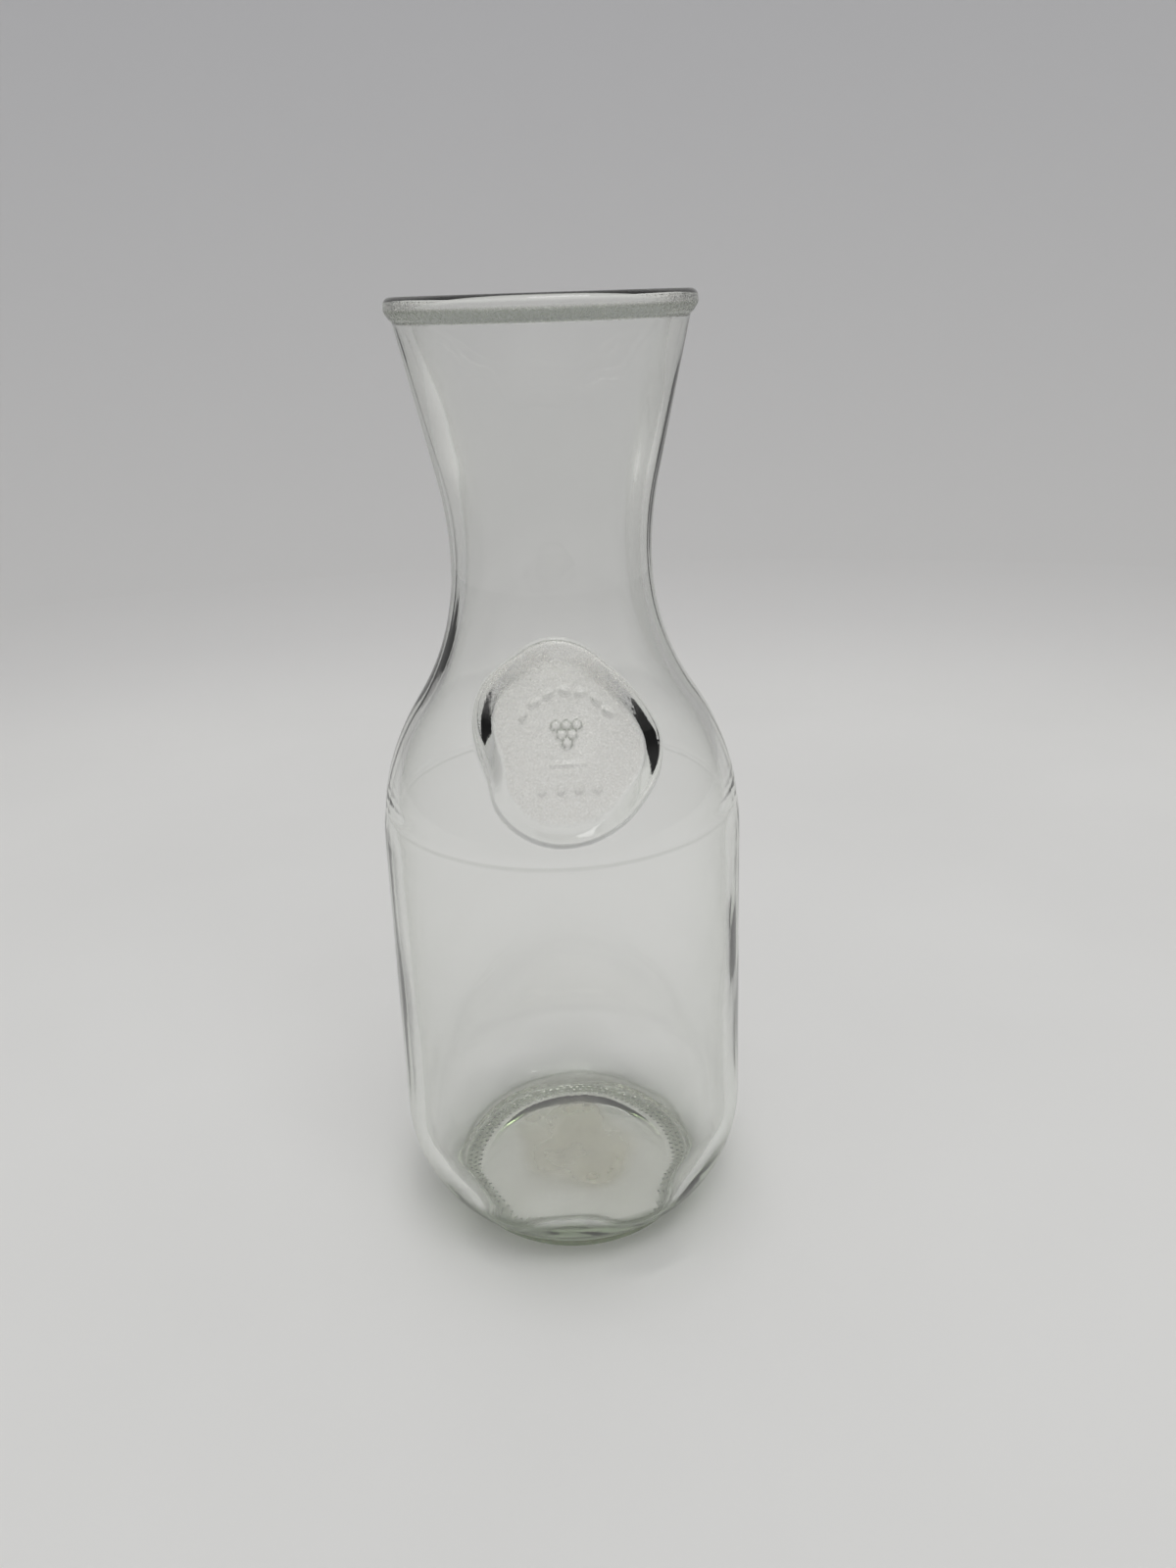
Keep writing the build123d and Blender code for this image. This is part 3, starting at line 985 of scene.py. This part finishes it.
def paper_material(name):
    """Plain pale paper, faintly mottled on the floor, with shade painted on darker up the wall."""
    material = bpy.data.materials.new(name)
    n = Nodes(material)
    height = n.place("Object", "Z")
    mottling = n.remap(n.noise(scale=6.0, detail=3.0, rough=0.5), 0.3, 0.7)
    floor = n.mix(mottling, *PAPER)
    # Painted shade: the wall's colour darkens with height
    wall = n.mix(n.remap(height, WALL_LOW_Z, WALL_HIGH_Z), WALL_LOW, WALL_HIGH_SHADED)
    surface = n.add("ShaderNodeBsdfPrincipled")
    n.feed(n.mix(n.remap(height, 0.0, WALL_LOW_Z), floor, wall), surface.inputs["Base Color"])
    n.feed(PAPER_ROUGHNESS, surface.inputs["Roughness"])
    n.feed(PAPER_SHINE, surface.inputs["Specular IOR Level"])
    n.output("ShaderNodeOutputMaterial", Surface=surface.outputs[0])
    return material


# ---------------------------------------------------------------- stage

# Paper floor and wall, in metres
FLOOR_RADIUS = 0.82
FLOOR_CENTRE_Y = -0.37
SWEEP_RADIUS = 0.08
WALL_HEIGHT = 1.1
BOWL_COLUMNS = 96
FLOOR_RINGS = 20
SWEEP_RINGS = 16


def bowl(name, profile):
    """A surface of revolution about the upright line through the floor's centre."""
    n = BOWL_COLUMNS
    angles = np.linspace(0, 2 * math.pi, n, endpoint=False)
    points = [(r * math.cos(a), FLOOR_CENTRE_Y + r * math.sin(a), z) for r, z in profile for a in angles]
    faces = []
    for low in range(0, n * (len(profile) - 1), n):
        faces += [(low + i, low + (i + 1) % n, low + n + (i + 1) % n, low + n + i) for i in range(n)]
    mesh = bpy.data.meshes.new(name)
    mesh.from_pydata(points, [], faces)
    mesh.shade_smooth()
    surface = bpy.data.objects.new(name, mesh)
    bpy.context.scene.collection.objects.link(surface)
    mesh.materials.append(paper_material(name))
    return surface


def make_backdrop():
    """Pale paper: a round floor that sweeps up at its edge, and an upright wall that lights nothing."""
    turns = np.linspace(0, math.pi / 2, SWEEP_RINGS)[1:]
    sweep = [(SWEEP_RADIUS * math.sin(t), SWEEP_RADIUS * (1 - math.cos(t))) for t in turns]
    floor = [(FLOOR_RADIUS * share, 0.0) for share in np.linspace(0.001, 1.0, FLOOR_RINGS)]
    bowl("floor_paper", floor + [(FLOOR_RADIUS + out, up) for out, up in sweep])
    edge_r = FLOOR_RADIUS + SWEEP_RADIUS
    wall = bowl("wall_paper", [(edge_r, SWEEP_RADIUS), (edge_r, WALL_HEIGHT)])
    wall.visible_diffuse = False
    wall.visible_glossy = False
    wall.visible_shadow = False


# ---------------------------------------------------------------- light

# Softbox in metres and watts, and the dome's strengths
SOFTBOX_PLACE = (0.15, -0.5, 1.15)
SOFTBOX_TARGET = (0.0, 0.05, 0.1)
SOFTBOX_SIZE = (0.6, 0.3)
SOFTBOX_POWER = 2.2
DOME_COLOUR = (1.0, 0.998, 0.99, 1.0)
DOME_LOW = 0.40
DOME_HIGH = 0.80
DOME_LOW_DEG = 15.0
DOME_HIGH_DEG = 38.0
DOME_SIDE_LOSS = 0.45


def make_softbox():
    """A soft light above the front, out of the camera's sight."""
    data = bpy.data.lights.new("softbox", "AREA")
    data.shape = "RECTANGLE"
    data.size, data.size_y = SOFTBOX_SIZE
    data.energy = SOFTBOX_POWER
    softbox = bpy.data.objects.new("softbox", data)
    aim = Vector(SOFTBOX_TARGET) - Vector(SOFTBOX_PLACE)
    softbox.location = SOFTBOX_PLACE
    softbox.rotation_euler = aim.to_track_quat("-Z", "Y").to_euler()
    softbox.visible_camera = False
    bpy.context.scene.collection.objects.link(softbox)


def make_dome():
    """An even dome of light, brighter overhead and dimmer at its left and right."""
    world = bpy.data.worlds.new("studio")
    n = Nodes(world)
    low = math.sin(math.radians(DOME_LOW_DEG))
    high = math.sin(math.radians(DOME_HIGH_DEG))
    upward = n.remap(n.place("Generated", "Z"), low, high, DOME_LOW, DOME_HIGH, "SMOOTHSTEP")
    sideways = n.place("Generated", "X")
    kept = n.math("MULTIPLY_ADD", n.math("MULTIPLY", sideways, sideways), -DOME_SIDE_LOSS, 1.0)
    background = n.add("ShaderNodeBackground")
    n.feed(DOME_COLOUR, background.inputs["Color"])
    n.feed(n.math("MULTIPLY", upward, kept), background.inputs["Strength"])
    n.output("ShaderNodeOutputWorld", Surface=background.outputs[0])
    bpy.context.scene.world = world


# ---------------------------------------------------------------- camera and rendering

CAMERA_DISTANCE = 299.7 * METRES
CAMERA_HEIGHT = 256.85 * METRES
CAMERA_ORBIT = math.radians(-2.6)
CAMERA_PAN = math.radians(1.42)
CAMERA_PITCH = math.radians(22.72)
CAMERA_ROLL = math.radians(1.85)
LENS = 27.0
SENSOR_WIDTH = 36.0
CLIP_NEAR = 0.01
CLIP_FAR = 10.0


def camera_axes():
    """The camera's own axes: panned right, pitched down, then rolled."""
    level = Vector((math.sin(CAMERA_PAN), math.cos(CAMERA_PAN), 0.0))
    down = Vector((0.0, 0.0, -math.sin(CAMERA_PITCH)))
    forward = level * math.cos(CAMERA_PITCH) + down
    right = Vector((math.cos(CAMERA_PAN), -math.sin(CAMERA_PAN), 0.0))
    up = right.cross(forward)
    across = right * math.cos(CAMERA_ROLL) - up * math.sin(CAMERA_ROLL)
    upright = right * math.sin(CAMERA_ROLL) + up * math.cos(CAMERA_ROLL)
    return Matrix((across, upright, -forward)).transposed().to_4x4()


def make_camera():
    """The camera: in front of the carafe and above its foot, then moved a little round its axis."""
    data = bpy.data.cameras.new("camera")
    data.lens = LENS
    data.sensor_width = SENSOR_WIDTH
    data.clip_start = CLIP_NEAR
    data.clip_end = CLIP_FAR
    camera = bpy.data.objects.new("camera", data)
    stand = Matrix.Translation((0.0, -CAMERA_DISTANCE, CAMERA_HEIGHT)) @ camera_axes()
    camera.matrix_world = Matrix.Rotation(CAMERA_ORBIT, 4, "Z") @ stand
    bpy.context.scene.collection.objects.link(camera)
    bpy.context.scene.camera = camera


def set_rendering():
    """Enough bounces for light to pass both walls and the base, with caustics kept sharp."""
    scene = bpy.context.scene
    scene.view_settings.view_transform = "Standard"
    scene.cycles.max_bounces = 18
    scene.cycles.transmission_bounces = 18
    scene.cycles.glossy_bounces = 8
    scene.cycles.diffuse_bounces = 3
    scene.cycles.transparent_max_bounces = 12
    scene.cycles.caustics_reflective = True
    scene.cycles.caustics_refractive = True
    scene.cycles.sample_clamp_indirect = 6.0
    scene.cycles.blur_glossy = 0.0


carafe = make_carafe()
carafe.data.materials.append(glass_material())
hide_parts(NODE)
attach(carafe, "root")

make_backdrop()
make_softbox()
make_dome()
make_camera()
set_rendering()
